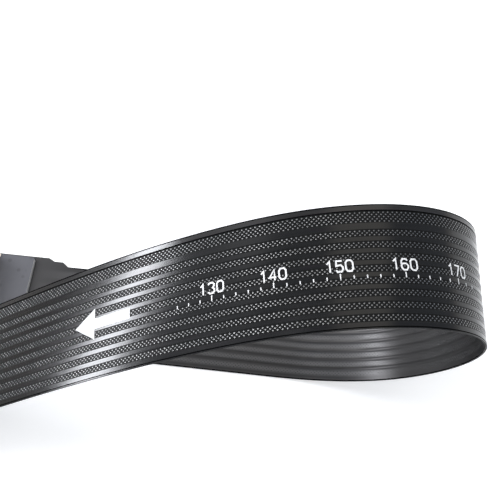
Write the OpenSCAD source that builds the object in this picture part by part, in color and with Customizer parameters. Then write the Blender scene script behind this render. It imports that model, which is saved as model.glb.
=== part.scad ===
// Flat flexible extension cable for a gumstick solid-state drive.
// The ribbon lies folded over in a loose loop. Its lower leg runs along +X on the surface at z = 0,
// and its upper leg comes back over it to the plug. x = 0 is the mouth of the drive socket.

/* [Ribbon] */
// Width of the ribbon between its ends
ribbon_w = 20; // [16:0.5:21]
// Thickness of the ribbon
ribbon_t = 0.3; // [0.2:0.05:0.5]
// Length of ribbon between the two end boards
free_len = 300; // [290:1:320]
// Angle between the ribbon's run and the axis that it is bent over
skew = 5.3; // [3:0.1:7]
// Distance from the socket's mouth to where the ribbon lifts off the surface
lift_off = 66; // [55:1:75]
// Bend radius where the ribbon comes down to the surface again
touch_r = 45; // [30:1:60]

/* [Shoulders] */
// Width of the ribbon's pad under the socket board
socket_pad_w = 23.4; // [22.6:0.1:25]
// Width of the step between that pad and the ribbon
socket_step_w = 22; // [21.2:0.1:22.4]
// Length of that step
socket_step_len = 2; // [1:0.1:4]
// Pad that shows beyond the socket board
pad_margin = 3; // [1:0.1:6]
// Length of each sloping shoulder
shoulder_len = 1.3; // [0.6:0.1:2.5]
// Width of the ribbon's pad on the plug board
plug_pad_w = 21.4; // [21.1:0.1:22]

/* [Socket board] */
// Length of the board behind the socket's mouth
board_len = 16; // [14:0.5:24]
// Length of the board in front of the mouth
board_front = 1.2; // [0.9:0.1:3]
// Width of the board
board_w = 22.2; // [22:0.1:23]
// Thickness of the board
board_t = 1; // [0.6:0.1:1.6]
// Corner radius of the board
board_r = 0.6; // [0.3:0.1:1.5]

/* [Socket] */
// Width of the housing across the ribbon
housing_w = 21.9; // [21.7:0.1:22]
// Depth of the housing
housing_d = 7.4; // [7:0.1:9]
// Height of the housing above its board
housing_h = 4.2; // [4:0.1:5.5]
// Depth of the slot
slot_d = 5; // [4.5:0.1:5.2]
// Height of the slot's floor above the board
slot_z = 2.1; // [1.9:0.1:2.3]
// Chamfer round the slot's mouth
mouth_chamfer = 0.3; // [0.1:0.05:0.4]

/* [Contacts] */
// Spacing of the contacts in each row
pitch = 0.5; // [0.5:0.01:0.51]
// Contact places in the upper row
upper_places = 38; // [34:1:38]
// Contact places in the lower row
lower_places = 37; // [33:1:37]
// Width of one contact
contact_w = 0.2; // [0.15:0.01:0.24]
// Thickness of the contact strip
contact_t = 0.2; // [0.12:0.01:0.22]
// Width of the groove that each contact sits in
groove_w = 0.3; // [0.26:0.01:0.36]
// How far a contact stands into the slot
contact_reach = 0.15; // [0.05:0.01:0.25]

/* [Hold-downs] */
// Length of a hold-down along the ribbon
anchor_len = 2.9; // [2.2:0.1:3.1]
// Sheet thickness of a hold-down
anchor_t = 0.25; // [0.15:0.05:0.3]
// Width of its foot on the board
anchor_foot = 0.7; // [0.5:0.05:0.75]
// Height of its leg
anchor_h = 2.6; // [1.5:0.1:3.4]

/* [Plug] */
// Thickness of the plug board
plug_t = 0.8; // [0.7:0.05:0.9]
// Width of the plug board's body
plug_w = 22; // [22:0.1:23]
// Length of the body, which carries the ribbon's end
plug_body = 11; // [9:0.5:16]
// Width of the tongue
tongue_w = 19.85; // [19.6:0.05:19.9]
// Length of the tongue
tongue_len = 4.5; // [4.2:0.1:5]
// Width of the key notch
key_w = 1.2; // [1.1:0.05:1.3]
// Distance of the key from the middle of the tongue
key_off = 6.125; // [6:0.005:6.25]
// Depth of the key notch
key_depth = 3.5; // [3.2:0.1:4]
// Width of one contact finger
finger_w = 0.35; // [0.25:0.01:0.4]
// Length of one contact finger
finger_len = 2; // [1.5:0.1:2.6]
// Plating height of the fingers
finger_t = 0.04; // [0.02:0.01:0.08]
// Bevel along the tip of the tongue
tip_bevel = 0.45; // [0.3:0.05:0.6]
// Bare edge between a finger and that bevel
finger_edge = 0.1; // [0.05:0.05:0.3]

/* [Fits] */
// Free play of a drive's edge in the slot, across and in height
slot_play = 0.1; // [0.06:0.01:0.2]
// Clearance round a hold-down's leg in the housing
leg_gap = 0.03; // [0.02:0.01:0.06]

/* [Hidden] */
$fn = 48;

// Bend radius of the loop at distances along it from where it lifts off, 0 where it is straight
loop_bends = [[0, 0], [12, 37], [28, 28], [44, 43], [60, 32], [76, 18], [95, 34], [120, 115], [165, 0]];
loop_step = 0.5;
ring_step = 4;
ring_cols = 4;

// Stretch of each row that the key takes
key_span = 2;

eps = 0.01;
over = 1;

// Heights
board_z = ribbon_t;
deck_z = board_z + board_t;
plug_z = finger_t;
plug_face_z = plug_z + plug_t + ribbon_t;

// Slot and key
slot_w = tongue_w + slot_play;
slot_h = plug_t + 2 * slot_play;
slot_top = slot_z + slot_h;
key_rib_w = key_w - 2 * slot_play;

// Stations along the ribbon, from the socket's mouth
pad_end = board_len + pad_margin;
step_start = pad_end + shoulder_len;
step_end = step_start + socket_step_len;
neck = step_end + shoulder_len;
plug_start = board_len + free_len;
plug_neck = plug_start - shoulder_len;
ribbon_end = plug_start + plug_body - shoulder_len;

// Loop profile in the upright plane across the bend axis: [along, up, heading] at each step
loop_len = loop_bends[len(loop_bends) - 1][0];
loop_curve = [for (b = loop_bends) [b[0], b[1] == 0 ? 0 : 1 / b[1]]];
function turn(i) = lookup((i + 0.5) * loop_step, loop_curve) * loop_step * 180 / PI;
loop_path = [for (i = 0, a = 0, x = 0, z = 0; i <= loop_len / loop_step;
    x = x + loop_step * cos(a + turn(i) / 2), z = z + loop_step * sin(a + turn(i) / 2),
    a = a + turn(i), i = i + 1) [lift_off + x, z, a]];
loop_out = loop_path[len(loop_path) - 1];
fall = loop_out[2] - 180;
ramp_len = (loop_out[1] - plug_face_z - touch_r * (1 - cos(fall))) / sin(fall);
arc_len = touch_r * fall * PI / 180;

// Outer face of the ribbon at a distance u along the profile
function mix(a, b, t) = a + (b - a) * t;
function on_loop(f) = let (i = min(floor(f), len(loop_path) - 2)) mix(loop_path[i], loop_path[i + 1], f - i);
function on_ramp(d) = [loop_out[0] - d * cos(fall), loop_out[1] - d * sin(fall), 180 + fall];
function on_arc(d) = let (left = fall - d / touch_r * 180 / PI, foot = on_ramp(ramp_len))
    [foot[0] - touch_r * (sin(fall) - sin(left)), plug_face_z + touch_r * (1 - cos(left)), 180 + left];
function on_table(d) = on_arc(arc_len) - [d, 0, 0];
function profile(u) =
    u < lift_off ? [u, 0, 0] :
    u < lift_off + loop_len ? on_loop((u - lift_off) / loop_step) :
    u < lift_off + loop_len + ramp_len ? on_ramp(u - lift_off - loop_len) :
    u < lift_off + loop_len + ramp_len + arc_len ? on_arc(u - lift_off - loop_len - ramp_len) :
    on_table(u - lift_off - loop_len - ramp_len - arc_len);

// Point of the ribbon: s along its middle line, v across it, h in from its outer face
function ribbon_point(s, v, h) = let (
    p = profile(s * cos(skew) + v * sin(skew)),
    x = p[0] - h * sin(p[2]),
    y = v * cos(skew) - s * sin(skew))
    [x * cos(skew) - y * sin(skew), x * sin(skew) + y * cos(skew), p[1] + h * cos(p[2])];

function half_width(s) = lookup(s, [[pad_end, socket_pad_w], [step_start, socket_step_w],
    [step_end, socket_step_w], [neck, ribbon_w], [plug_neck, ribbon_w], [plug_start, plug_pad_w]]) / 2;
loop_start = lift_off - ring_step;
loop_end = (lift_off + loop_len) / cos(skew);
arc_start = (lift_off + loop_len + ramp_len) / cos(skew) - ring_step;
arc_end = (lift_off + loop_len + ramp_len + arc_len) / cos(skew) + ring_step;
ring_places = concat([-board_front, pad_end, step_start, step_end, neck],
    [for (s = [loop_start : ring_step : loop_end]) s],
    [for (s = [arc_start : ring_step : arc_end]) s],
    [plug_neck, plug_start, ribbon_end]);

// Closed skin over rings of equal count, each running out along one face and back along the other
module skin(rings) {
    n = len(rings[0]);
    last = (len(rings) - 1) * n;
    polyhedron(
        points = [for (r = rings) each r],
        faces = concat(
            [for (k = [0 : n / 2 - 2]) [k, k + 1, n - 2 - k, n - 1 - k]],
            [for (j = [0 : n : last - n]) for (k = [0 : n - 1])
                each [[j + k, j + n + k, j + n + (k + 1) % n],
                    [j + k, j + n + (k + 1) % n, j + (k + 1) % n]]],
            [for (k = [0 : n / 2 - 2]) [last + k + 1, last + k, last + n - 1 - k, last + n - 2 - k]]));
}

module flex_ribbon() {
    color([0.13, 0.13, 0.13])
    skin([for (s = ring_places) let (w = half_width(s)) concat(
        [for (k = [0 : ring_cols - 1]) ribbon_point(s, mix(-w, w, k / (ring_cols - 1)), 0)],
        [for (k = [ring_cols - 1 : -1 : 0]) ribbon_point(s, mix(-w, w, k / (ring_cols - 1)), ribbon_t)])]);
}

module rounded_plate(x0, x1, w, t, r) {
    translate([x0 + r, -w / 2, 0]) cube([x1 - x0 - 2 * r, w, t]);
    translate([x0, -w / 2 + r, 0]) cube([x1 - x0, w - 2 * r, t]);
    for (x = [x0 + r, x1 - r], y = [-w / 2 + r, w / 2 - r]) translate([x, y, 0]) cylinder(r = r, h = t);
}

module socket_board() {
    color([0.42, 0.42, 0.45])
    translate([0, 0, board_z]) rounded_plate(-board_front, board_len, board_w, board_t, board_r);
}

// Places across the tongue of one row's contacts: none at the key, and none beyond the row's reach
function row_places(count, reach) = [for (i = [0 : count - 1]) let (y = (i - (count - 1) / 2) * pitch)
    if (abs(y - key_off) > key_span / 2 && abs(y) < reach) y];

// Outline of a bent strip of thickness t whose middle runs through the points of path
function unit(a) = a / norm(a);
function side_step(path, i, t) = let (
    a = unit(path[min(i + 1, len(path) - 1)] - path[min(i, len(path) - 2)]),
    b = unit(path[max(i, 1)] - path[max(i - 1, 0)]),
    na = [-a[1], a[0]],
    nb = [-b[1], b[0]])
    (na + nb) * t / 2 / (1 + na * nb);
function strip_outline(path, t) = concat(
    [for (i = [0 : len(path) - 1]) path[i] + side_step(path, i, t)],
    [for (i = [len(path) - 1 : -1 : 0]) path[i] - side_step(path, i, t)]);

// Upright plate of width w across the ribbon, drawn in X and Z above the board
module across(y, w) {
    translate([0, y + w / 2, deck_z]) rotate([90, 0, 0]) linear_extrude(height = w) children();
}

// Upper contact: tail behind the housing, riser up its back, beam forward over the slot
riser_inset = 0.4;
riser_x = housing_d - riser_inset;
tail_out = 0.9;
beam_room = 0.15;
beam_z = slot_top + beam_room + contact_t / 2;
bump_x = 1.7;
nose_len = 0.7;
nose_rise = 0.35;
beam_bend = 1.8;
upper_path = [[housing_d + tail_out, contact_t / 2], [riser_x, contact_t / 2], [riser_x, beam_z],
    [bump_x + beam_bend, beam_z], [bump_x, slot_top - contact_reach + contact_t / 2],
    [bump_x - nose_len, slot_top - contact_reach + contact_t / 2 + nose_rise]];

// Lower contact: tail in front of the mouth, foot along the board, riser and beam under the slot
lower_tail = 0.7;
lower_riser_room = 0.2;
lower_riser_x = slot_d + lower_riser_room;
lower_beam_drop = 0.5;
lower_beam_z = slot_z - lower_beam_drop;
lower_path = [[-lower_tail, contact_t / 2], [lower_riser_x, contact_t / 2], [lower_riser_x, lower_beam_z],
    [bump_x + beam_bend, lower_beam_z], [bump_x, slot_z + contact_reach - contact_t / 2],
    [bump_x - nose_len, slot_z + contact_reach - contact_t / 2 - nose_rise]];

// Grooves that the contacts sit in
groove_gap = 0.1;
front_wall = 0.5;
roof_z = beam_z + contact_t / 2 + groove_gap;
back_x = riser_x - contact_t / 2 - groove_gap;
lower_back_x = lower_riser_x + contact_t / 2 + groove_gap;
tail_z = contact_t + groove_gap;
upper_groove = [[bump_x - nose_len - contact_t - groove_gap, slot_top - eps], [back_x, slot_top - eps],
    [back_x, -over], [housing_d + over, -over], [housing_d + over, roof_z],
    [bump_x - nose_len - contact_t - groove_gap, roof_z]];
lower_groove = [[-over, -over], [lower_back_x, -over], [lower_back_x, slot_z - groove_gap],
    [slot_d, slot_z - groove_gap], [slot_d, slot_z + eps], [front_wall, slot_z + eps],
    [front_wall, tail_z], [-over, tail_z]];

// Hold-down: foot on the board in a notch at the housing's end, leg in a pocket beside it
anchor_back = 0.9;
anchor_side = 0.1;
anchor_x = housing_d + anchor_back - anchor_len;
anchor_foot_y = housing_w / 2 + anchor_side - anchor_foot;
leg_inset = 0.4;
leg_x = anchor_x + leg_inset;
leg_len = housing_d - leg_inset - leg_x;

// Reach of the socket's rows, which end a wall short of the hold-downs' pockets
pocket_wall = 0.1;
socket_reach = anchor_foot_y - anchor_t - leg_gap - pocket_wall - groove_w / 2;

module anchor() {
    translate([anchor_x, anchor_foot_y, deck_z]) cube([anchor_len, anchor_foot, anchor_t]);
    translate([leg_x, anchor_foot_y - anchor_t, deck_z]) {
        cube([leg_len, anchor_t, anchor_h]);
        cube([leg_len, 2 * anchor_t, anchor_t]);
    }
}

module anchor_pocket() {
    translate([anchor_x - leg_gap, anchor_foot_y - leg_gap, deck_z - over])
        cube([housing_d - anchor_x + over, housing_w, housing_h + 2 * over]);
    translate([leg_x - leg_gap, anchor_foot_y - anchor_t - leg_gap, deck_z - over])
        cube([leg_len + 2 * leg_gap, anchor_t + 2 * leg_gap, anchor_h + leg_gap + over]);
}

module slot_cut() {
    translate([-over, -slot_w / 2, deck_z + slot_z]) cube([slot_d + over, slot_w, slot_h]);
    c = mouth_chamfer;
    across(0, slot_w) polygon([[-over, slot_z - c - over], [0, slot_z - c], [c, slot_z],
        [c, slot_top], [0, slot_top + c], [-over, slot_top + c + over]]);
}

module socket_housing() {
    color([0.1, 0.1, 0.1])
    difference() {
        translate([0, -housing_w / 2, deck_z]) cube([housing_d, housing_w, housing_h]);
        difference() {
            slot_cut();
            translate([-2 * over, key_off - key_rib_w / 2, deck_z])
                cube([slot_d + 4 * over, key_rib_w, housing_h]);
        }
        for (y = row_places(upper_places, socket_reach)) across(y, groove_w) polygon(upper_groove);
        for (y = row_places(lower_places, socket_reach)) across(y, groove_w) polygon(lower_groove);
        anchor_pocket();
        mirror([0, 1, 0]) anchor_pocket();
    }
}

module socket_upper_contacts() {
    color([0.85, 0.68, 0.3])
    for (y = row_places(upper_places, socket_reach)) across(y, contact_w)
        polygon(strip_outline(upper_path, contact_t));
}

module socket_lower_contacts() {
    color([0.85, 0.68, 0.3])
    for (y = row_places(lower_places, socket_reach)) across(y, contact_w)
        polygon(strip_outline(lower_path, contact_t));
}

module socket_anchor_near() {
    color([0.85, 0.82, 0.7]) mirror([0, 1, 0]) anchor();
}

module socket_anchor_far() {
    color([0.85, 0.82, 0.7]) anchor();
}

// Plug's own frame: x from the board's inner edge to its tip, z up from the surface
module at_plug() {
    foot = ribbon_point(plug_start, 0, 0);
    translate([foot[0], foot[1], 0]) rotate([0, 0, 180 + 2 * skew]) children();
}

tip_x = plug_body + tongue_len;
tip_chamfer = 0.5;
neck_chamfer = 0.5;
bevel_h = plug_t / 4;

// Reach of the plug's rows, which end an edge short of the tongue's sides
plug_reach = tongue_w / 2 - finger_edge - finger_w / 2;

module plug_board() {
    b = plug_w / 2;
    t = tongue_w / 2;
    color([0.12, 0.16, 0.13])
    at_plug() difference() {
        translate([0, 0, plug_z]) linear_extrude(height = plug_t)
            polygon([[0, -b], [plug_body - neck_chamfer, -b], [plug_body, -b + neck_chamfer], [plug_body, -t],
                [tip_x - tip_chamfer, -t], [tip_x, -t + tip_chamfer],
                [tip_x, t - tip_chamfer], [tip_x - tip_chamfer, t],
                [plug_body, t], [plug_body, b - neck_chamfer], [plug_body - neck_chamfer, b], [0, b]]);
        translate([tip_x - key_depth + key_w / 2, key_off, plug_z - over]) {
            cylinder(d = key_w, h = plug_t + 2 * over);
            translate([0, -key_w / 2, 0]) cube([key_depth, key_w, plug_t + 2 * over]);
        }
        for (f = [0, 1]) translate([0, 0, plug_z + plug_t / 2]) mirror([0, 0, f])
            translate([tip_x, b, plug_t / 2]) rotate([90, 0, 0]) linear_extrude(height = 2 * b)
                polygon([[-tip_bevel, 0], [0, -bevel_h], [over, -bevel_h], [over, over], [-tip_bevel, over]]);
    }
}

module fingers(count, z) {
    color([0.88, 0.7, 0.32])
    at_plug() for (y = row_places(count, plug_reach))
        translate([tip_x - tip_bevel - finger_edge - finger_len, y - finger_w / 2, z])
            cube([finger_len, finger_w, finger_t]);
}

module plug_top_fingers() {
    fingers(upper_places, plug_z + plug_t);
}

module plug_bottom_fingers() {
    fingers(lower_places, 0);
}

flex_ribbon();
socket_board();
socket_housing();
socket_upper_contacts();
socket_lower_contacts();
socket_anchor_near();
socket_anchor_far();
plug_board();
plug_top_fingers();
plug_bottom_fingers();
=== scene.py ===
import math
import bpy
import numpy as np
from mathutils import Matrix


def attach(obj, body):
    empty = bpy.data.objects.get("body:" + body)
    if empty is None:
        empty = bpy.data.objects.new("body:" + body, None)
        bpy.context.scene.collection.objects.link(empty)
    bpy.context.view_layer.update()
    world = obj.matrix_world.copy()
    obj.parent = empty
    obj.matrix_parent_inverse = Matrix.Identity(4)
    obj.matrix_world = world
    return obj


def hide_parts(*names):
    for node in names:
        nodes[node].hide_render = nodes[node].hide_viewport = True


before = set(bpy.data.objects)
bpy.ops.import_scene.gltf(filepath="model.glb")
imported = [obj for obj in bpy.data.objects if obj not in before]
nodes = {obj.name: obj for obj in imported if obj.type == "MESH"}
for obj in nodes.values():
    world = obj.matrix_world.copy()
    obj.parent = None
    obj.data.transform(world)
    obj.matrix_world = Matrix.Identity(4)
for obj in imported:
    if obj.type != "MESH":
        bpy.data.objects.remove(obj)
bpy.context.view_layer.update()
mm = 0.001
print("frame loaded:", len(nodes), "CAD nodes")

# Camera: looks down on the loop from the near side
cameraSet = {
    "target": (63.82, 18.83, 0.0),  # mm, the point at the middle of the picture
    "distance": 185.36,  # mm from that point
    "elevation": 65.814,  # degrees above the surface
    "heading": 8.063,  # degrees that the view is turned from +Y
    "roll": 1.583,  # degrees
    "lens": 58.81,  # mm
    "sensor": 36.0,  # mm
    "near": 5.0,  # mm, nothing closer is drawn
}


def aimCamera():
    elevation, heading, roll = (math.radians(cameraSet[k]) for k in ("elevation", "heading", "roll"))
    level = np.array([math.cos(heading), math.sin(heading), 0.0])
    ahead = np.array([-math.sin(heading), math.cos(heading), 0.0])
    down = np.array([0.0, 0.0, -1.0])
    forward = ahead * math.cos(elevation) + down * math.sin(elevation)
    upright = ahead * math.sin(elevation) - down * math.cos(elevation)
    right = level * math.cos(roll) - upright * math.sin(roll)
    up = level * math.sin(roll) + upright * math.cos(roll)
    place = (np.array(cameraSet["target"]) - forward * cameraSet["distance"]) * mm
    data = bpy.data.cameras.new("camera")
    data.lens = cameraSet["lens"]
    data.sensor_width = cameraSet["sensor"]
    data.clip_start = cameraSet["near"] * mm
    camera = bpy.data.objects.new("camera", data)
    matrix = np.eye(4)
    matrix[:3, 0], matrix[:3, 1], matrix[:3, 2], matrix[:3, 3] = right, up, -forward, place
    camera.matrix_world = Matrix(matrix.tolist())
    bpy.context.scene.collection.objects.link(camera)
    bpy.context.scene.camera = camera


aimCamera()
print("camera aimed")


# Mesh helpers
def gridQuads(rows, cols, closed=False):  # quads over a rows by cols grid, its columns joined round if closed
    r, c = np.meshgrid(np.arange(rows - 1), np.arange(cols if closed else cols - 1), indexing="ij")
    n = (c + 1) % cols
    return np.stack([r * cols + c, r * cols + n, (r + 1) * cols + n, (r + 1) * cols + c], -1).reshape(-1, 4)


def meshPiece(name, points, quads, looks, slots=None, smooth=True, sharp=None, extra=None):
    mesh = bpy.data.meshes.new(name)
    mesh.vertices.add(len(points))
    mesh.vertices.foreach_set("co", (np.asarray(points) * mm).astype(np.float32).ravel())
    sizes = np.full(len(quads), 4)
    corners = quads.ravel()
    if extra:  # faces with other counts of corners
        sizes = np.concatenate([sizes, [len(f) for f in extra]])
        corners = np.concatenate([corners, np.concatenate(extra)])
    mesh.loops.add(len(corners))
    mesh.loops.foreach_set("vertex_index", corners.astype(np.int32))
    mesh.polygons.add(len(sizes))
    mesh.polygons.foreach_set("loop_start", np.concatenate([[0], np.cumsum(sizes)[:-1]]).astype(np.int32))
    mesh.polygons.foreach_set("use_smooth", np.full(len(sizes), smooth))
    for look in looks:
        mesh.materials.append(look)
    if slots is not None:
        mesh.polygons.foreach_set("material_index", slots.astype(np.int32))
    mesh.update(calc_edges=True)
    mesh.validate()
    if sharp:
        mesh.set_sharp_from_angle(angle=math.radians(sharp))
    piece = bpy.data.objects.new(name, mesh)
    bpy.context.scene.collection.objects.link(piece)
    return piece


def layAttribute(piece, name, values):  # one vector for each vertex
    data = piece.data.attributes.new(name, "FLOAT_VECTOR", "POINT")
    data.data.foreach_set("vector", np.asarray(values, np.float32).ravel())


# Route of the ribbon, in mm: the same points as the CAD model's
route = {
    "skew": 5.3,  # degrees between the run and the axis that it is bent over
    "liftOff": 66.0,
    "touchRadius": 45.0,
    "bends": [(0, 0), (12, 37), (28, 28), (44, 43), (60, 32), (76, 18), (95, 34), (120, 115), (165, 0)],
    "bendStep": 0.5,  # mm, and each bend is a distance from lift-off and a radius, 0 where straight
    "plugFace": 1.14,  # height of the outer face on the plug
    "start": -1.2,
    "boardEdge": 16.0,
    "plugStart": 316.0,
    "end": 325.7,
    "widths": [(19, 23.4), (20.3, 22), (22.3, 22), (23.6, 20), (314.7, 20), (316, 21.4)],
    "thick": 0.3,
    "plainHalf": 10.0,  # half the width between the two ends
    "straightReach": 100.0,  # how far the flat stretches run on
    "arcSteps": 60,
    "cordPoints": 240,
}


def bendTable():
    # along, up and heading of the outer face at distances u: flat, the bends, a straight fall, an arc, flat
    step, reach = route["bendStep"], route["straightReach"]
    place, radius = np.array(route["bends"], float).T
    curve = np.divide(1.0, radius, out=np.zeros_like(radius), where=radius > 0)
    turns = np.interp((np.arange(int(place[-1] / step)) + 0.5) * step, place, curve) * step
    heading = np.concatenate([[0], np.cumsum(turns)])
    middle = heading[:-1] + turns / 2
    x = route["liftOff"] + np.concatenate([[0], np.cumsum(step * np.cos(middle))])
    z = np.concatenate([[0], np.cumsum(step * np.sin(middle))])
    u = route["liftOff"] + np.arange(len(x)) * step
    fall, r = heading[-1] - math.pi, route["touchRadius"]
    ramp = (z[-1] - route["plugFace"] - r * (1 - math.cos(fall))) / math.sin(fall)
    left = np.linspace(fall, 0, route["arcSteps"])
    arcX = x[-1] - ramp * math.cos(fall) - r * (math.sin(fall) - np.sin(left))
    arcZ = route["plugFace"] + r * (1 - np.cos(left))
    arcU = u[-1] + ramp + r * (fall - left)
    return (np.concatenate([[-reach], u, arcU, [arcU[-1] + reach]]),
            np.concatenate([[-reach], x, arcX, [arcX[-1] - reach]]),
            np.concatenate([[0], z, arcZ, [arcZ[-1]]]),
            np.concatenate([[0], heading, math.pi + left, [math.pi]]))


bendU, bendX, bendZ, bendA = bendTable()


def ribbonPoint(s, v, h):  # s along the middle line, v across it, h in from the outer face, in mm
    skew = math.radians(route["skew"])
    u = s * math.cos(skew) + v * math.sin(skew)
    turn = np.interp(u, bendU, bendA)
    x = np.interp(u, bendU, bendX) - h * np.sin(turn)
    y = v * math.cos(skew) - s * math.sin(skew)
    z = np.interp(u, bendU, bendZ) + h * np.cos(turn)
    return np.stack([x * math.cos(skew) - y * math.sin(skew), x * math.sin(skew) + y * math.cos(skew), z], -1)


def halfWidth(s):
    return np.interp(s, *np.array(route["widths"], float).T) / 2


# Shader kit: sockets that take arithmetic, and one method that makes any node
class Flow:
    def __init__(self, kit, socket):
        self.kit, self.socket = kit, socket

    def __add__(self, other):
        return self.kit.sum("ADD", self, other)

    def __radd__(self, other):
        return self.kit.sum("ADD", other, self)

    def __sub__(self, other):
        return self.kit.sum("SUBTRACT", self, other)

    def __rsub__(self, other):
        return self.kit.sum("SUBTRACT", other, self)

    def __mul__(self, other):
        return self.kit.sum("MULTIPLY", self, other)

    def __rmul__(self, other):
        return self.kit.sum("MULTIPLY", other, self)


class Look:
    def __init__(self, name, tree=None):
        if tree is None:
            self.material = bpy.data.materials.new(name)
            self.material.use_nodes = True
            tree = self.material.node_tree
        self.tree = tree
        self.tree.nodes.clear()

    def make(self, kind, settings=None, sockets=None, out=0):
        node = self.tree.nodes.new("ShaderNode" + kind)
        for key, value in (settings or {}).items():
            if key == "stops":  # a ramp's places and colours
                ramp = node.color_ramp
                while len(ramp.elements) < len(value):
                    ramp.elements.new(0.5)
                for stop, (place, colour) in zip(ramp.elements, value):
                    stop.position, stop.color = place, colour
            else:
                setattr(node, key, value)
        for key, value in (sockets or {}).items():
            if isinstance(value, Flow):
                self.tree.links.new(value.socket, node.inputs[key])
            else:
                node.inputs[key].default_value = value
        return Flow(self, node.outputs[out]) if node.outputs else None

    def sum(self, operation, a, b):
        return self.make("Math", {"operation": operation}, {0: a, 1: b})

    def mix(self, share, a, b):
        return self.make("Mix", {"data_type": "RGBA"}, {0: share, 6: a, 7: b}, 2)

    def noise(self, place, scale, detail=2.0):
        return self.make("TexNoise", None, {"Vector": place, "Scale": scale, "Detail": detail})

    def band(self, value, low, high):  # 0 to 1 as the value goes from low to high
        return self.make("MapRange", {"interpolation_type": "SMOOTHSTEP"},
                         {"Value": value, "From Min": low, "From Max": high})

    def objectPlace(self):
        return self.make("TexCoord", None, None, 3)

    def bump(self, height, strength, distance):
        return self.make("Bump", None, {"Height": height, "Strength": strength, "Distance": distance})

    def surface(self, sockets):
        shader = self.make("BsdfPrincipled", None, sockets)
        self.make("OutputMaterial", None, {"Surface": shader})
        return self.material


def grey(level, tint=(1.0, 1.0, 1.0)):
    return (level * tint[0], level * tint[1], level * tint[2], 1.0)


# Finishes of the ribbon; its pattern follows the attribute "run": s, v and depth in mm
filmSet = {
    "outer": 0.006, "outerTint": (1.0, 0.95, 0.90), "outerRough": 0.15,
    "hatch": 0.175, "hatchRough": 0.27, "innerHatch": 0.05, "innerHatchRough": 0.2,
    "inner": 0.034, "innerTint": (1.0, 0.97, 0.97), "innerRough": 0.33, "pad": 0.034,
    "crease": 0.010, "bend": 0.006,  # inner film: painted shade in its creases, and painted shade inside the bend
    "laneGloss": 1.33,  # index of the clear layer along the inner lanes
    "floor": 0.008, "floorRough": 0.45, "floorSheen": 0.04, "line": 0.0015, "edge": 0.008,
    # the margin film is lighter than the outer film; part of that lightness is painted sheen
    "margin": 0.016,
    "sheen": 0.29, "marginSheen": 0.34, "innerSheen": 0.44,  # strength of each film's reflection
    "hatchSheen": 0.5, "innerHatchSheen": 0.8,  # and of each hatch's
    "gloss": 1.08, "glossRough": 0.22,  # index and roughness of the thin clear layer over the lanes
}


def runPlace(look):
    return look.make("Attribute", {"attribute_name": "run"}, None, 1)


def laneShare(look, run):
    # 1 along the middle of each hatched lane, 0 in the crease between two; it sets the inner film's painted
    # crease shade and its clear layer
    across = look.make("SeparateXYZ", None, {0: run}, 1)
    turn = (across - lanes["first"]) * (2 * math.pi / lanes["pitch"])
    narrow = 0.5 + 0.5 * look.make("Math", {"operation": "COSINE"}, {0: turn})
    off = look.make("Math", {"operation": "ABSOLUTE"}, {0: across - lanes["wide"]})
    wide = 1 - look.band(off, *lanes["wideFade"])
    crease, join = lanes["wideCrease"], lanes["wideJoin"]
    return narrow + look.band(across, crease - join, crease + join) * (wide - narrow)


def filmLook(name, level, tint, rough, uneven, sheen, sheenTint, pad=None):
    # plain cover film: long faint streaks along the run, a fine grain and a slow ripple;
    # with a pad it is the inner film: banded by its lanes with painted shade in the creases, with painted
    # shade and a fading clear layer inside the bend, paler on the pad
    look = Look(name)
    run = runPlace(look)
    long = look.make("VectorMath", {"operation": "MULTIPLY"}, {0: run, 1: (0.12, 2.2, 1.0)})
    streak = look.noise(long, 1.0, 3.0)
    grain = look.noise(run, 9.0, 3.0)
    tone = 0.7 * streak + 0.3 * grain
    dark, light = grey(level * (1 - 0.25 * uneven), tint), grey(level * (1 + 0.3 * uneven), tint)
    colour = look.mix(look.band(tone, 0.3, 0.7), dark, light)
    sockets = {}
    if pad:
        along = look.make("SeparateXYZ", None, {0: run}, 0)
        before, after = lanes["padFade"]
        offPad = look.band(along, lanes["plainEnd"] - before, lanes["plainEnd"] + after)
        share = laneShare(look, run)
        # painted shade: the inner film darker in the creases between its lanes
        colour = look.mix(share, grey(filmSet["crease"], tint), colour)
        # painted shade inside the bend: the film darkens there and its clear layer fades out
        start, full, fade, end = lanes["bend"]
        bendShade = look.band(along, start, full) * (1 - look.band(along, fade, end))
        colour = look.mix(bendShade, colour, grey(filmSet["bend"], tint))
        colour = look.mix(offPad, grey(pad, tint), colour)
        sockets = {"Coat Weight": share * offPad * (1 - bendShade), "Coat IOR": filmSet["laneGloss"],
                   "Coat Roughness": rough}
    slow = look.make("VectorMath", {"operation": "MULTIPLY"}, {0: run, 1: (0.5, 0.5, 1.0)})
    wave = look.noise(slow, 1.0, 1.0)
    relief = look.bump(grain * 0.15 + wave, 1.0, 0.004 * mm)
    return look.surface({"Base Color": colour, "Roughness": rough + 0.10 * uneven * (tone - 0.5),
                         "Normal": relief, "Specular IOR Level": sheen, "Specular Tint": sheenTint,
                         **sockets})


def clearLayer():  # weak head on, bright at a glancing angle
    return {"Coat Weight": 1.0, "Coat IOR": filmSet["gloss"], "Coat Roughness": filmSet["glossRough"]}


def hatchLook(name, level, rough, sheen, metal):
    # lozenges of the cross-hatch: metal that shows through the film, a little lighter here and there
    look = Look(name)
    run = runPlace(look)
    patch = look.noise(run, 0.6, 2.0)
    colour = look.mix(look.band(patch, 0.3, 0.7), grey(level * 0.8), grey(level * 1.2))
    return look.surface({"Base Color": colour, "Roughness": rough + 0.1 * (patch - 0.5),
                         "Specular IOR Level": sheen, "Metallic": metal, **clearLayer()})


def laneFloorLook():
    # dull film between the lozenges
    look = Look("laneFloor")
    grain = look.noise(runPlace(look), 12.0, 2.0)
    colour = look.mix(grain, grey(filmSet["floor"] * 0.7), grey(filmSet["floor"] * 1.3))
    return look.surface({"Base Color": colour, "Roughness": filmSet["floorRough"],
                         "Specular IOR Level": filmSet["floorSheen"], **clearLayer()})


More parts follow.
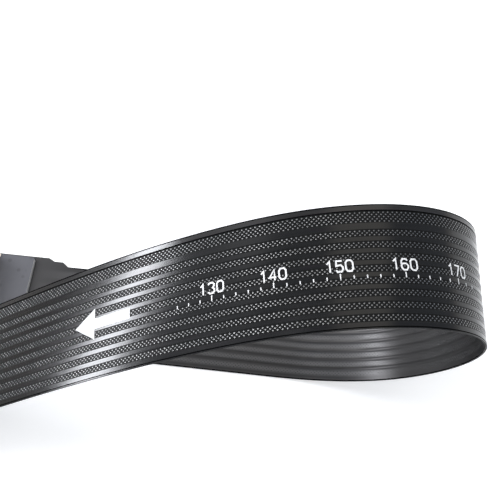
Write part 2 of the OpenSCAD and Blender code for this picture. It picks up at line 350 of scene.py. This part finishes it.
def lineLook():
    look = Look("edgeLine")
    grain = look.noise(runPlace(look), 6.0, 2.0)
    colour = look.mix(grain, grey(filmSet["line"] * 0.6), grey(filmSet["line"] * 1.4))
    return look.surface({"Base Color": colour, "Roughness": 0.60, "Specular IOR Level": 0.0})


def cutEdgeLook():
    # the cut side: film and glue layers as lines through the thickness
    look = Look("cutEdge")
    run = runPlace(look)
    depth = look.make("SeparateXYZ", None, {0: run}, 2)
    layers = look.make("Math", {"operation": "SINE"}, {0: depth * 70.0})
    grain = look.noise(run, 4.0, 3.0)
    tone = look.band(0.25 * layers + grain, 0.25, 0.75)
    colour = look.mix(tone, grey(filmSet["edge"] * 0.5), grey(filmSet["edge"] * 1.5))
    return look.surface({"Base Color": colour, "Roughness": 0.60, "Specular IOR Level": 0.15})


# Lanes of the ribbon, in mm across it
lanes = {
    "first": -8.35, "pitch": 1.93, "count": 8, "half": 0.56,
    "wide": 7.84, "wideHalf": 0.94,
    "line": (-9.76, 8.93, 9.87), "lineHalf": 0.03,  # dark lines near the two edges
    "sink": 0.035,  # depth of the hatched lanes under the outer face
    "groove": 0.07, "grooveHalf": 0.55, "grooveSteps": 9,  # creases of the inner face, between its lanes
    "innerLine": 0.25,  # width of the dark line along each margin of the inner face
    "flank": 0.06, "rim": 0.03,
    "wideCrease": 6.1, "wideJoin": 0.1,  # beside the wide lane, and half the join of the two patterns
    "wideFade": (0.4, 1.5),  # from the wide lane's middle its clear layer fades between these
    "stretchFrom": 9.0,  # outside this the section stretches where the ribbon widens
    "creaseWithin": 9.9,  # outside this the inner face has no crease
    "bend": (88.0, 102.0, 126.0, 140.0),  # along the run, painted shade: the inner film darker and its clear layer fading out, from the second to the third
    "plainEnd": 24.0, "creaseFade": 8.0,  # along the run: where the creases start, and how far they deepen
    "padFade": (8.0, 7.0),  # the pad's tone fades from before that place to after it
}
laneMiddles = lanes["first"] + lanes["pitch"] * np.arange(lanes["count"])
creaseMiddles = laneMiddles[:-1] + lanes["pitch"] / 2


def trench(v, middle, half, depth):  # depth inside the band, 0 outside, straight flanks
    return depth * np.clip((half + lanes["flank"] - np.abs(v - middle)) / lanes["flank"], 0, 1)


def ribbonRing():
    # closed cross-section at the plain width: out along the outer face, back along the inner one
    w, t, f, rim = route["plainHalf"], route["thick"], lanes["flank"], lanes["rim"]
    cuts = [(m, lanes["half"], lanes["sink"]) for m in laneMiddles]
    cuts += [(lanes["wide"], lanes["wideHalf"], lanes["sink"])]
    cuts += [(m, lanes["lineHalf"], 0.0) for m in lanes["line"]]
    creases = np.append(creaseMiddles, lanes["wideCrease"])
    soft, line = lanes["grooveHalf"], lanes["innerLine"]
    ends = [-w, -w + rim, w - rim, w]
    outerV = np.sort(np.concatenate([ends] + [[m - h - f, m - h, m + h, m + h + f] for m, h, _ in cuts]))
    outerH = sum(trench(outerV, *c) for c in cuts)
    outerH[[0, -1]] = rim
    bows = creases[:, None] + soft * np.linspace(-1, 1, lanes["grooveSteps"])
    innerV = np.sort(np.concatenate([ends, [-w + line, w - line], bows.ravel()]))
    offCrease = np.clip((innerV - creases[:, None]) / soft, -1, 1)
    innerH = t - np.sum(lanes["groove"] * 0.5 * (1 + np.cos(np.pi * offCrease)), axis=0)
    innerH[[0, -1]] = t - rim
    middleV = outerV[:-1] + np.diff(outerV) / 2
    outerSlots = np.where(middleV > lanes["line"][1], 5, 0)  # bare margin, and film
    for m, h, depth in cuts:
        outerSlots[np.abs(middleV - m) < h + f] = 4 if depth else 3  # lane floor, or flush dark line
    outerSlots[[0, -1]] = 2
    innerSlots = np.ones(len(innerV) - 1, int)
    innerSlots[[1, -2]] = 3  # dark line along each margin
    slots = np.concatenate([outerSlots, [2], innerSlots[::-1], [2]])
    return np.concatenate([outerV, innerV[::-1]]), np.concatenate([outerH, innerH[::-1]]), slots


def buildRibbon(looks):
    # the ring carried along the run, its outermost millimetre stretched where the ribbon widens
    ringV, ringH, ringSlots = ribbonRing()
    stations = np.array([p for p, _ in route["widths"]], float)
    s = np.unique(np.concatenate([np.arange(route["start"], route["end"], 1.0), stations, [route["end"]]]))
    plain, inside = route["plainHalf"], lanes["stretchFrom"]
    spread = np.sign(ringV) * np.clip((np.abs(ringV) - inside) / (plain - inside), 0, 1)
    v = ringV[None] + (halfWidth(s)[:, None] - plain) * spread[None]
    fade = np.clip((s - lanes["plainEnd"]) / lanes["creaseFade"], 0, 1)[:, None]  # 0 on the pad, 1 beyond it
    crease = (ringSlots == 1) & (np.abs(ringV) < lanes["creaseWithin"])
    h = np.where(crease[None], route["thick"] + (ringH[None] - route["thick"]) * fade, ringH[None])
    run = np.stack(np.broadcast_arrays(s[:, None], v, h), -1)
    points = ribbonPoint(run[..., 0], run[..., 1], run[..., 2])
    rows, cols = len(s), len(ringV)
    caps = [np.arange(cols), np.arange(cols)[::-1] + (rows - 1) * cols]
    slots = np.tile(ringSlots, (rows - 1, 1))
    innerStart = np.argmax(ringSlots == 1) - 2  # a rim and a dark line come before the inner film
    onPad = (s[:-1] < lanes["plainEnd"])[:, None] & (np.arange(cols) >= innerStart)[None]
    slots = np.where(onPad & (slots == 3), 1, slots)  # no line on the pad's own face
    slots = np.concatenate([slots.ravel(), [2, 2]])
    quads = gridQuads(rows, cols, closed=True)[:, ::-1]
    piece = meshPiece("ribbon_film", points.reshape(-1, 3), quads, looks, slots, sharp=12, extra=caps)
    layAttribute(piece, "run", run.reshape(-1, 3))
    return piece


# Cross-hatch: rows of small raised lozenges, staggered by half a pitch
hatch = {"pitch": 0.74, "rowPitch": 0.33, "fill": 0.46, "top": 0.3, "rise": 0.015, "bed": 0.002,
         "start": 25.0, "end": 313.0, "rows": 3, "wideRows": 5, "wideRowPitch": 0.37}
# a lozenge's four flanks and its top, from corners 0 to 3 at the foot and 4 to 7 above
lozengeFaces = np.array([[0, 1, 5, 4], [1, 2, 6, 5], [2, 3, 7, 6], [3, 0, 4, 7], [4, 5, 6, 7]])


def buildHatch(name, look, base, top):
    beds = [(m, hatch["rows"], hatch["rowPitch"]) for m in laneMiddles]
    beds += [(lanes["wide"], hatch["wideRows"], hatch["wideRowPitch"])]
    rows = [(m + (j - (n - 1) / 2) * gap, j + k) for k, (m, n, gap) in enumerate(beds) for j in range(n)]
    s = np.arange(hatch["start"], hatch["end"], hatch["pitch"])
    middleS = np.concatenate([s + (j % 2) * hatch["pitch"] / 2 for _, j in rows])
    middleV = np.repeat([v for v, _ in rows], len(s))
    halfS, halfV = hatch["pitch"] / 2 * hatch["fill"], hatch["rowPitch"] * hatch["fill"]
    shrink = np.array([1] * 4 + [hatch["top"]] * 4)
    cornerS = np.array([1, 0, -1, 0, 1, 0, -1, 0]) * halfS * shrink
    cornerV = np.array([0, 1, 0, -1, 0, 1, 0, -1]) * halfV * shrink
    depth = np.array([base] * 4 + [top] * 4)
    run = np.stack(np.broadcast_arrays(middleS[:, None] + cornerS, middleV[:, None] + cornerV, depth), -1)
    faces = lozengeFaces[:, ::-1] if top < base else lozengeFaces
    quads = (np.arange(len(middleS))[:, None, None] * 8 + faces).reshape(-1, 4)
    points = ribbonPoint(run[..., 0], run[..., 1], run[..., 2])
    piece = meshPiece(name, points.reshape(-1, 3), quads, [look], smooth=False)
    layAttribute(piece, "run", run.reshape(-1, 3))
    return piece


outerFilm = filmLook("coverFilm", filmSet["outer"], filmSet["outerTint"], filmSet["outerRough"], 1.0,
                     filmSet["sheen"], grey(1.0))
innerFilm = filmLook("innerFilm", filmSet["inner"], filmSet["innerTint"], filmSet["innerRough"], 0.25,
                     filmSet["innerSheen"], grey(1.0, filmSet["innerTint"]), filmSet["pad"])
marginFilm = filmLook("marginFilm", filmSet["margin"], filmSet["outerTint"], filmSet["outerRough"], 1.0,
                      filmSet["marginSheen"], grey(1.0))
ribbon = buildRibbon([outerFilm, innerFilm, cutEdgeLook(), lineLook(), laneFloorLook(), marginFilm])
outerHatchFilm = hatchLook("outerHatchFilm", filmSet["hatch"], filmSet["hatchRough"],
                           filmSet["hatchSheen"], 1.0)
innerHatchFilm = hatchLook("innerHatchFilm", filmSet["innerHatch"], filmSet["innerHatchRough"],
                           filmSet["innerHatchSheen"], 0.0)
outerHatch = buildHatch("outer_hatch", outerHatchFilm,
                        lanes["sink"] + hatch["bed"], lanes["sink"] - hatch["rise"])
innerHatch = buildHatch("inner_hatch", innerHatchFilm,
                        route["thick"] - hatch["bed"], route["thick"] + hatch["rise"])
for piece in (ribbon, outerHatch, innerHatch):
    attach(piece, "root")
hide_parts("flex_ribbon")


# White print on the outer face: a length scale with plain numbers, and an arrow towards the plug
scale = {"first": 124, "last": 174, "step": 2, "numberStep": 10, "across": -0.05,  # mm from the plug
         "height": 1.75, "width": 1.05, "gap": 0.45, "stroke": 0.13,
         "tick": 0.5, "longTick": 0.9, "tickBase": -2.15, "tickHalf": 0.09, "lift": 0.015}
arrow = {"tip": 212.5, "head": 4.2, "length": 11.5, "headHalf": 2.7, "shaftHalf": 0.9, "across": -0.6,
         "headSteps": 10, "shaftSteps": 14, "columns": 5}
strokes = {  # path of each figure in a box one wide and one high
    "0": [(.25, 0), (.75, 0), (1, .2), (1, .8), (.75, 1), (.25, 1), (0, .8), (0, .2), (.25, 0)],
    "1": [(.2, .76), (.6, 1), (.6, 0)],
    "3": [(.03, .84), (.25, 1), (.75, 1), (.97, .84), (.97, .66), (.72, .53),
          (1, .38), (1, .17), (.75, 0), (.25, 0), (0, .16)],
    "4": [(.74, 0), (.74, 1), (0, .3), (1, .3)],
    "5": [(.95, 1), (.12, 1), (.06, .55), (.7, .62), (1, .42), (1, .2), (.75, 0), (.25, 0), (0, .15)],
    "6": [(.95, .85), (.75, 1), (.25, 1), (0, .8), (0, .2), (.25, 0),
          (.75, 0), (1, .2), (1, .4), (.75, .58), (.25, .58), (0, .42)],
    "7": [(0, 1), (1, 1), (.35, 0)],
}


def strokeStrip(path, half):
    # two points at each corner of the path, on its mitre, and a quad for each straight
    path = np.array(path, float)
    leg = np.diff(path, axis=0)
    side = np.stack([-leg[:, 1], leg[:, 0]], -1) / np.linalg.norm(leg, axis=1)[:, None]
    closed = np.allclose(path[0], path[-1])
    before = np.concatenate([side[-1:] if closed else side[:1], side])
    after = np.concatenate([side, side[:1] if closed else side[-1:]])
    mitre = (before + after) / np.maximum(1 + np.sum(before * after, axis=1), 0.35)[:, None]
    points = np.stack([path + half * mitre, path - half * mitre], 1).reshape(-1, 2)
    return points, gridQuads(len(path), 2)


def printStrips():
    strips = []
    for place in range(scale["first"], scale["last"] + 1, scale["step"]):
        s = route["plugStart"] - place
        numbered = place % scale["numberStep"] == 0
        top = scale["tickBase"] + scale["longTick" if numbered else "tick"]
        strips.append(strokeStrip([(-s, scale["tickBase"]), (-s, top)], scale["tickHalf"]))
        figures = str(place) if numbered else ""
        span = len(figures) * scale["width"] + (len(figures) - 1) * scale["gap"]
        for i, figure in enumerate(figures):
            left = -s - span / 2 + i * (scale["width"] + scale["gap"])
            corner = np.array([left, scale["across"] - scale["height"] / 2])
            path = corner + np.array(strokes[figure]) * (scale["width"], scale["height"])
            strips.append(strokeStrip(path, scale["stroke"]))
    return strips


def arrowStrips():
    # the arrow as a band whose half width opens from the tip and steps in at the shaft
    head = np.linspace(0, arrow["head"], arrow["headSteps"])
    shaft = np.linspace(arrow["head"], arrow["length"], arrow["shaftSteps"])
    headHalf = head / arrow["head"] * arrow["headHalf"]
    shaftHalf = np.full(len(shaft), arrow["shaftHalf"])
    strips = []
    for along, half in ((head, headHalf), (shaft, shaftHalf)):
        across = half[:, None] * np.linspace(-1, 1, arrow["columns"])
        back = np.broadcast_to(along[:, None] - arrow["tip"], across.shape)
        points = np.stack([back, arrow["across"] + across], -1)
        strips.append((points.reshape(-1, 2), gridQuads(len(along), arrow["columns"])))
    return strips


def inkLook():
    # screen-printed white: slightly uneven cover
    look = Look("whiteInk")
    run = runPlace(look)
    cover = look.band(look.noise(run, 3.0, 3.0), 0.25, 0.6)
    colour = look.mix(cover, grey(0.62), grey(0.86))
    return look.surface({"Base Color": colour, "Roughness": 0.55, "Specular IOR Level": 0.2})


def buildPrint():
    points, quads, count = [], [], 0
    for flat, faces in printStrips() + arrowStrips():
        points.append(flat)
        quads.append(faces + count)
        count += len(flat)
    flat = np.concatenate(points)
    run = np.column_stack([-flat[:, 0], flat[:, 1], np.full(len(flat), -scale["lift"])])
    piece = meshPiece("white_print", ribbonPoint(*run.T), np.concatenate(quads), [inkLook()], smooth=True)
    layAttribute(piece, "run", run)
    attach(piece, "root")
    return piece


whitePrint = buildPrint()
lozenges = len(outerHatch.data.polygons) // len(lozengeFaces)
print("ribbon built:", len(ribbon.data.polygons), "faces,", lozenges, "lozenges a face")


# Finishes of the two ends
def boardLook():
    # matt grey lacquer, faintly mottled, with small darker through-hole spots; its cut edge toward the flex
    # is painted pale, painted light on a shaded wall
    look = Look("boardLacquer")
    place = look.objectPlace()
    x = look.make("SeparateXYZ", None, {0: place}, 0)
    # painted light: the cut edge toward the flex lies in shade and is painted pale
    paintedEdgeLight = look.band(x, (route["boardEdge"] - 0.03) * mm, (route["boardEdge"] - 0.01) * mm)
    mottle = look.noise(place, 260.0, 3.0)
    spots = look.make("TexVoronoi", {"feature": "F1"}, {"Vector": place, "Scale": 420.0, "Randomness": 0.7})
    dots = 1 - look.band(spots, 0.10, 0.26)
    colour = look.mix(mottle, (0.081, 0.081, 0.092, 1), (0.111, 0.111, 0.124, 1))
    colour = look.mix(0.35 * dots, colour, (0.03, 0.03, 0.036, 1))
    colour = look.mix(paintedEdgeLight, colour, (0.50, 0.49, 0.47, 1))
    grain = look.noise(place, 2500.0, 2.0)
    relief = look.bump(grain * 0.2 - dots, 0.6, 0.02 * mm)
    return look.surface({"Base Color": colour, "Roughness": 0.55 + 0.2 * (mottle - 0.5), "Normal": relief})


def mouldingLook():
    # black glass-filled moulding: fine pits and a slightly patchy sheen
    look = Look("blackMoulding")
    place = look.objectPlace()
    patch, grain = look.noise(place, 500.0, 2.0), look.noise(place, 6000.0, 2.0)
    colour = look.mix(patch, grey(0.012), grey(0.024))
    relief = look.bump(grain, 0.35, 0.01 * mm)
    return look.surface({"Base Color": colour, "Roughness": 0.42 + 0.2 * (patch - 0.5), "Normal": relief})


def metalLook(name, dark, light, rough):
    # plated metal: brushed along the strip, with cloudy tone
    look = Look(name)
    place = look.objectPlace()
    brushed = look.make("VectorMath", {"operation": "MULTIPLY"}, {0: place, 1: (300.0, 9000.0, 1200.0)})
    streak, cloud = look.noise(brushed, 1.0, 2.0), look.noise(place, 900.0, 2.0)
    colour = look.mix(look.band(0.5 * streak + 0.5 * cloud, 0.3, 0.7), dark, light)
    return look.surface({"Base Color": colour, "Metallic": 1.0, "Roughness": rough + 0.15 * (streak - 0.5)})


def laminateLook():
    # plug board: dark solder mask over a faint glass weave
    look = Look("plugLaminate")
    place = look.objectPlace()
    x, y = (look.make("SeparateXYZ", None, {0: place}, i) for i in (0, 1))
    warp, weft = (look.make("Math", {"operation": "SINE"}, {0: axis * 9000.0}) for axis in (x, y))
    weave = warp * weft
    mottle = look.noise(place, 300.0, 2.0)
    tone = look.band(mottle + 0.15 * weave, 0.3, 0.7)
    colour = look.mix(tone, (0.008, 0.014, 0.010, 1), (0.016, 0.026, 0.019, 1))
    relief = look.bump(weave, 0.2, 0.01 * mm)
    return look.surface({"Base Color": colour, "Roughness": 0.32 + 0.15 * (mottle - 0.5), "Normal": relief})


gold = metalLook("contactGold", (0.68, 0.42, 0.12, 1), (0.86, 0.60, 0.22, 1), 0.28)
tinned = metalLook("tinnedMetal", (0.62, 0.58, 0.46, 1), (0.82, 0.79, 0.68, 1), 0.34)
nodeLooks = {
    "socket_board": boardLook(), "socket_housing": mouldingLook(),
    "socket_upper_contacts": gold, "socket_lower_contacts": gold,
    "socket_anchor_near": tinned, "socket_anchor_far": tinned,
    "plug_board": laminateLook(), "plug_top_fingers": gold, "plug_bottom_fingers": gold,
}
for name, look in nodeLooks.items():
    nodes[name].data.materials.clear()
    nodes[name].data.materials.append(look)
print("end pieces finished")

# Stage: white floor that keeps the shadow, and a room that is bright low down
stage = {"floorSize": 14.0, "floorDrop": 0.06 * mm,  # metres
         "floorColour": 0.85, "floorGlow": 0.36,
         "glowFrom": (0.095, 0.110)}  # metres along x, reflections have the glow only beyond
room = {
    "wall": (1.0, 1.0, 1.0), "low": (0.58, 0.61, 0.68), "middle": (0.50, 0.55, 0.64),
    "heights": {"wall": 0.05, "low": 0.13, "middle": 0.28},  # sine of the elevation of each colour
    # soft lit patches: azimuth, elevation, inner and outer radius in degrees, colour
    "patches": [(278, 72, 16, 31, (1.8, 1.7, 1.51)), (70, 62, 9, 20, (1.15, 1.06, 0.9)),
                (168, 68, 5, 12, (5.0, 5.0, 5.0)), (183, 44, 5, 12, (10.0, 10.0, 10.0)),
                (155, 40, 5, 14, (0.4, 0.4, 0.42)), (140, 41, 7, 13, (0.8, 0.8, 0.8))],
    # dark screens in the same form: their colour is taken away
    "screens": [(170, 10, 6, 15, (0.34, 0.36, 0.40))],
}


def buildFloor():
    half = stage["floorSize"] / mm / 2
    corners = np.array([(-half, -half), (half, -half), (half, half), (-half, half)])
    points = np.column_stack([corners, np.full(4, -stage["floorDrop"] / mm)])
    look = Look("floorPaper")
    base = look.make("BsdfDiffuse", None, {"Color": grey(stage["floorColour"])})
    kinds = ("Is Camera Ray", "Is Glossy Ray", "Is Transmission Ray")
    direct, mirrored, through = (look.make("LightPath", None, None, kind) for kind in kinds)
    place = look.make("NewGeometry", None, None, "Position")
    beyond = look.band(look.make("SeparateXYZ", None, {0: place}, 0), *stage["glowFrom"])
    seen = direct + mirrored * beyond + through
    glow = look.make("Emission", None, {"Color": grey(1.0), "Strength": seen * stage["floorGlow"]})
    look.make("OutputMaterial", None, {"Surface": look.make("AddShader", None, {0: base, 1: glow})})
    floor = meshPiece("floor", points, np.array([[0, 1, 2, 3]]), [look.material], smooth=False)


def towards(azimuth, elevation):  # unit vector, from degrees
    a, e = math.radians(azimuth), math.radians(elevation)
    return np.array([math.cos(e) * math.cos(a), math.cos(e) * math.sin(a), math.sin(e)])


def lightRoom():
    world = bpy.data.worlds.new("room")
    bpy.context.scene.world = world
    world.use_nodes = True
    look = Look("room", world.node_tree)
    direction = look.make("TexCoord", None, None, 0)
    height = look.make("SeparateXYZ", None, {0: direction}, 2)
    stops = [(place, (*room[name], 1.0)) for name, place in room["heights"].items()]
    shade = look.make("ValToRGB", {"stops": stops}, {0: height})
    areas = [(*p, "ADD") for p in room["patches"]] + [(*p, "SUBTRACT") for p in room["screens"]]
    for azimuth, elevation, inner, outer, colour, blend in areas:
        centre = tuple(towards(azimuth, elevation))
        near = look.make("VectorMath", {"operation": "DOT_PRODUCT"}, {0: direction, 1: centre}, 1)
        share = look.band(near, math.cos(math.radians(outer)), math.cos(math.radians(inner)))
        sockets = {0: share, 6: shade, 7: (*colour, 1.0)}
        shade = look.make("Mix", {"data_type": "RGBA", "blend_type": blend}, sockets, 2)
    sky = look.make("Background", None, {"Color": shade, "Strength": 1.0})
    look.make("OutputWorld", None, {"Surface": sky})


# Strip light on the left, low down: its reflection is the slanting sheen across the upper leg
strip = {"from": (46.0, -15.0, 44.0), "distance": 350.0,  # mm
         "azimuth": 165.0, "elevation": 18.6, "tilt": 34.2,  # degrees
         "size": (0.16, 0.034), "power": 0.67, "colour": (0.93, 0.95, 1.0)}  # metres, watts


def hangStrip():
    azimuth, tilt = math.radians(strip["azimuth"]), math.radians(strip["tilt"])
    out = towards(strip["azimuth"], strip["elevation"])
    level = np.array([math.sin(azimuth), -math.cos(azimuth), 0.0])
    along = math.cos(tilt) * level + math.sin(tilt) * np.cross(level, out)
    data = bpy.data.lights.new("stripLight", "AREA")
    data.shape = "RECTANGLE"
    data.size, data.size_y = strip["size"]
    data.energy = strip["power"]
    data.color = strip["colour"]
    light = bpy.data.objects.new("stripLight", data)
    matrix = np.eye(4)
    matrix[:3, 0], matrix[:3, 1], matrix[:3, 2] = along, np.cross(out, along), out
    matrix[:3, 3] = (np.array(strip["from"]) + out * strip["distance"]) * mm
    light.matrix_world = Matrix(matrix.tolist())
    bpy.context.scene.collection.objects.link(light)


buildFloor()
lightRoom()
hangStrip()
bpy.context.scene.view_settings.view_transform = "Standard"
print("stage lit")
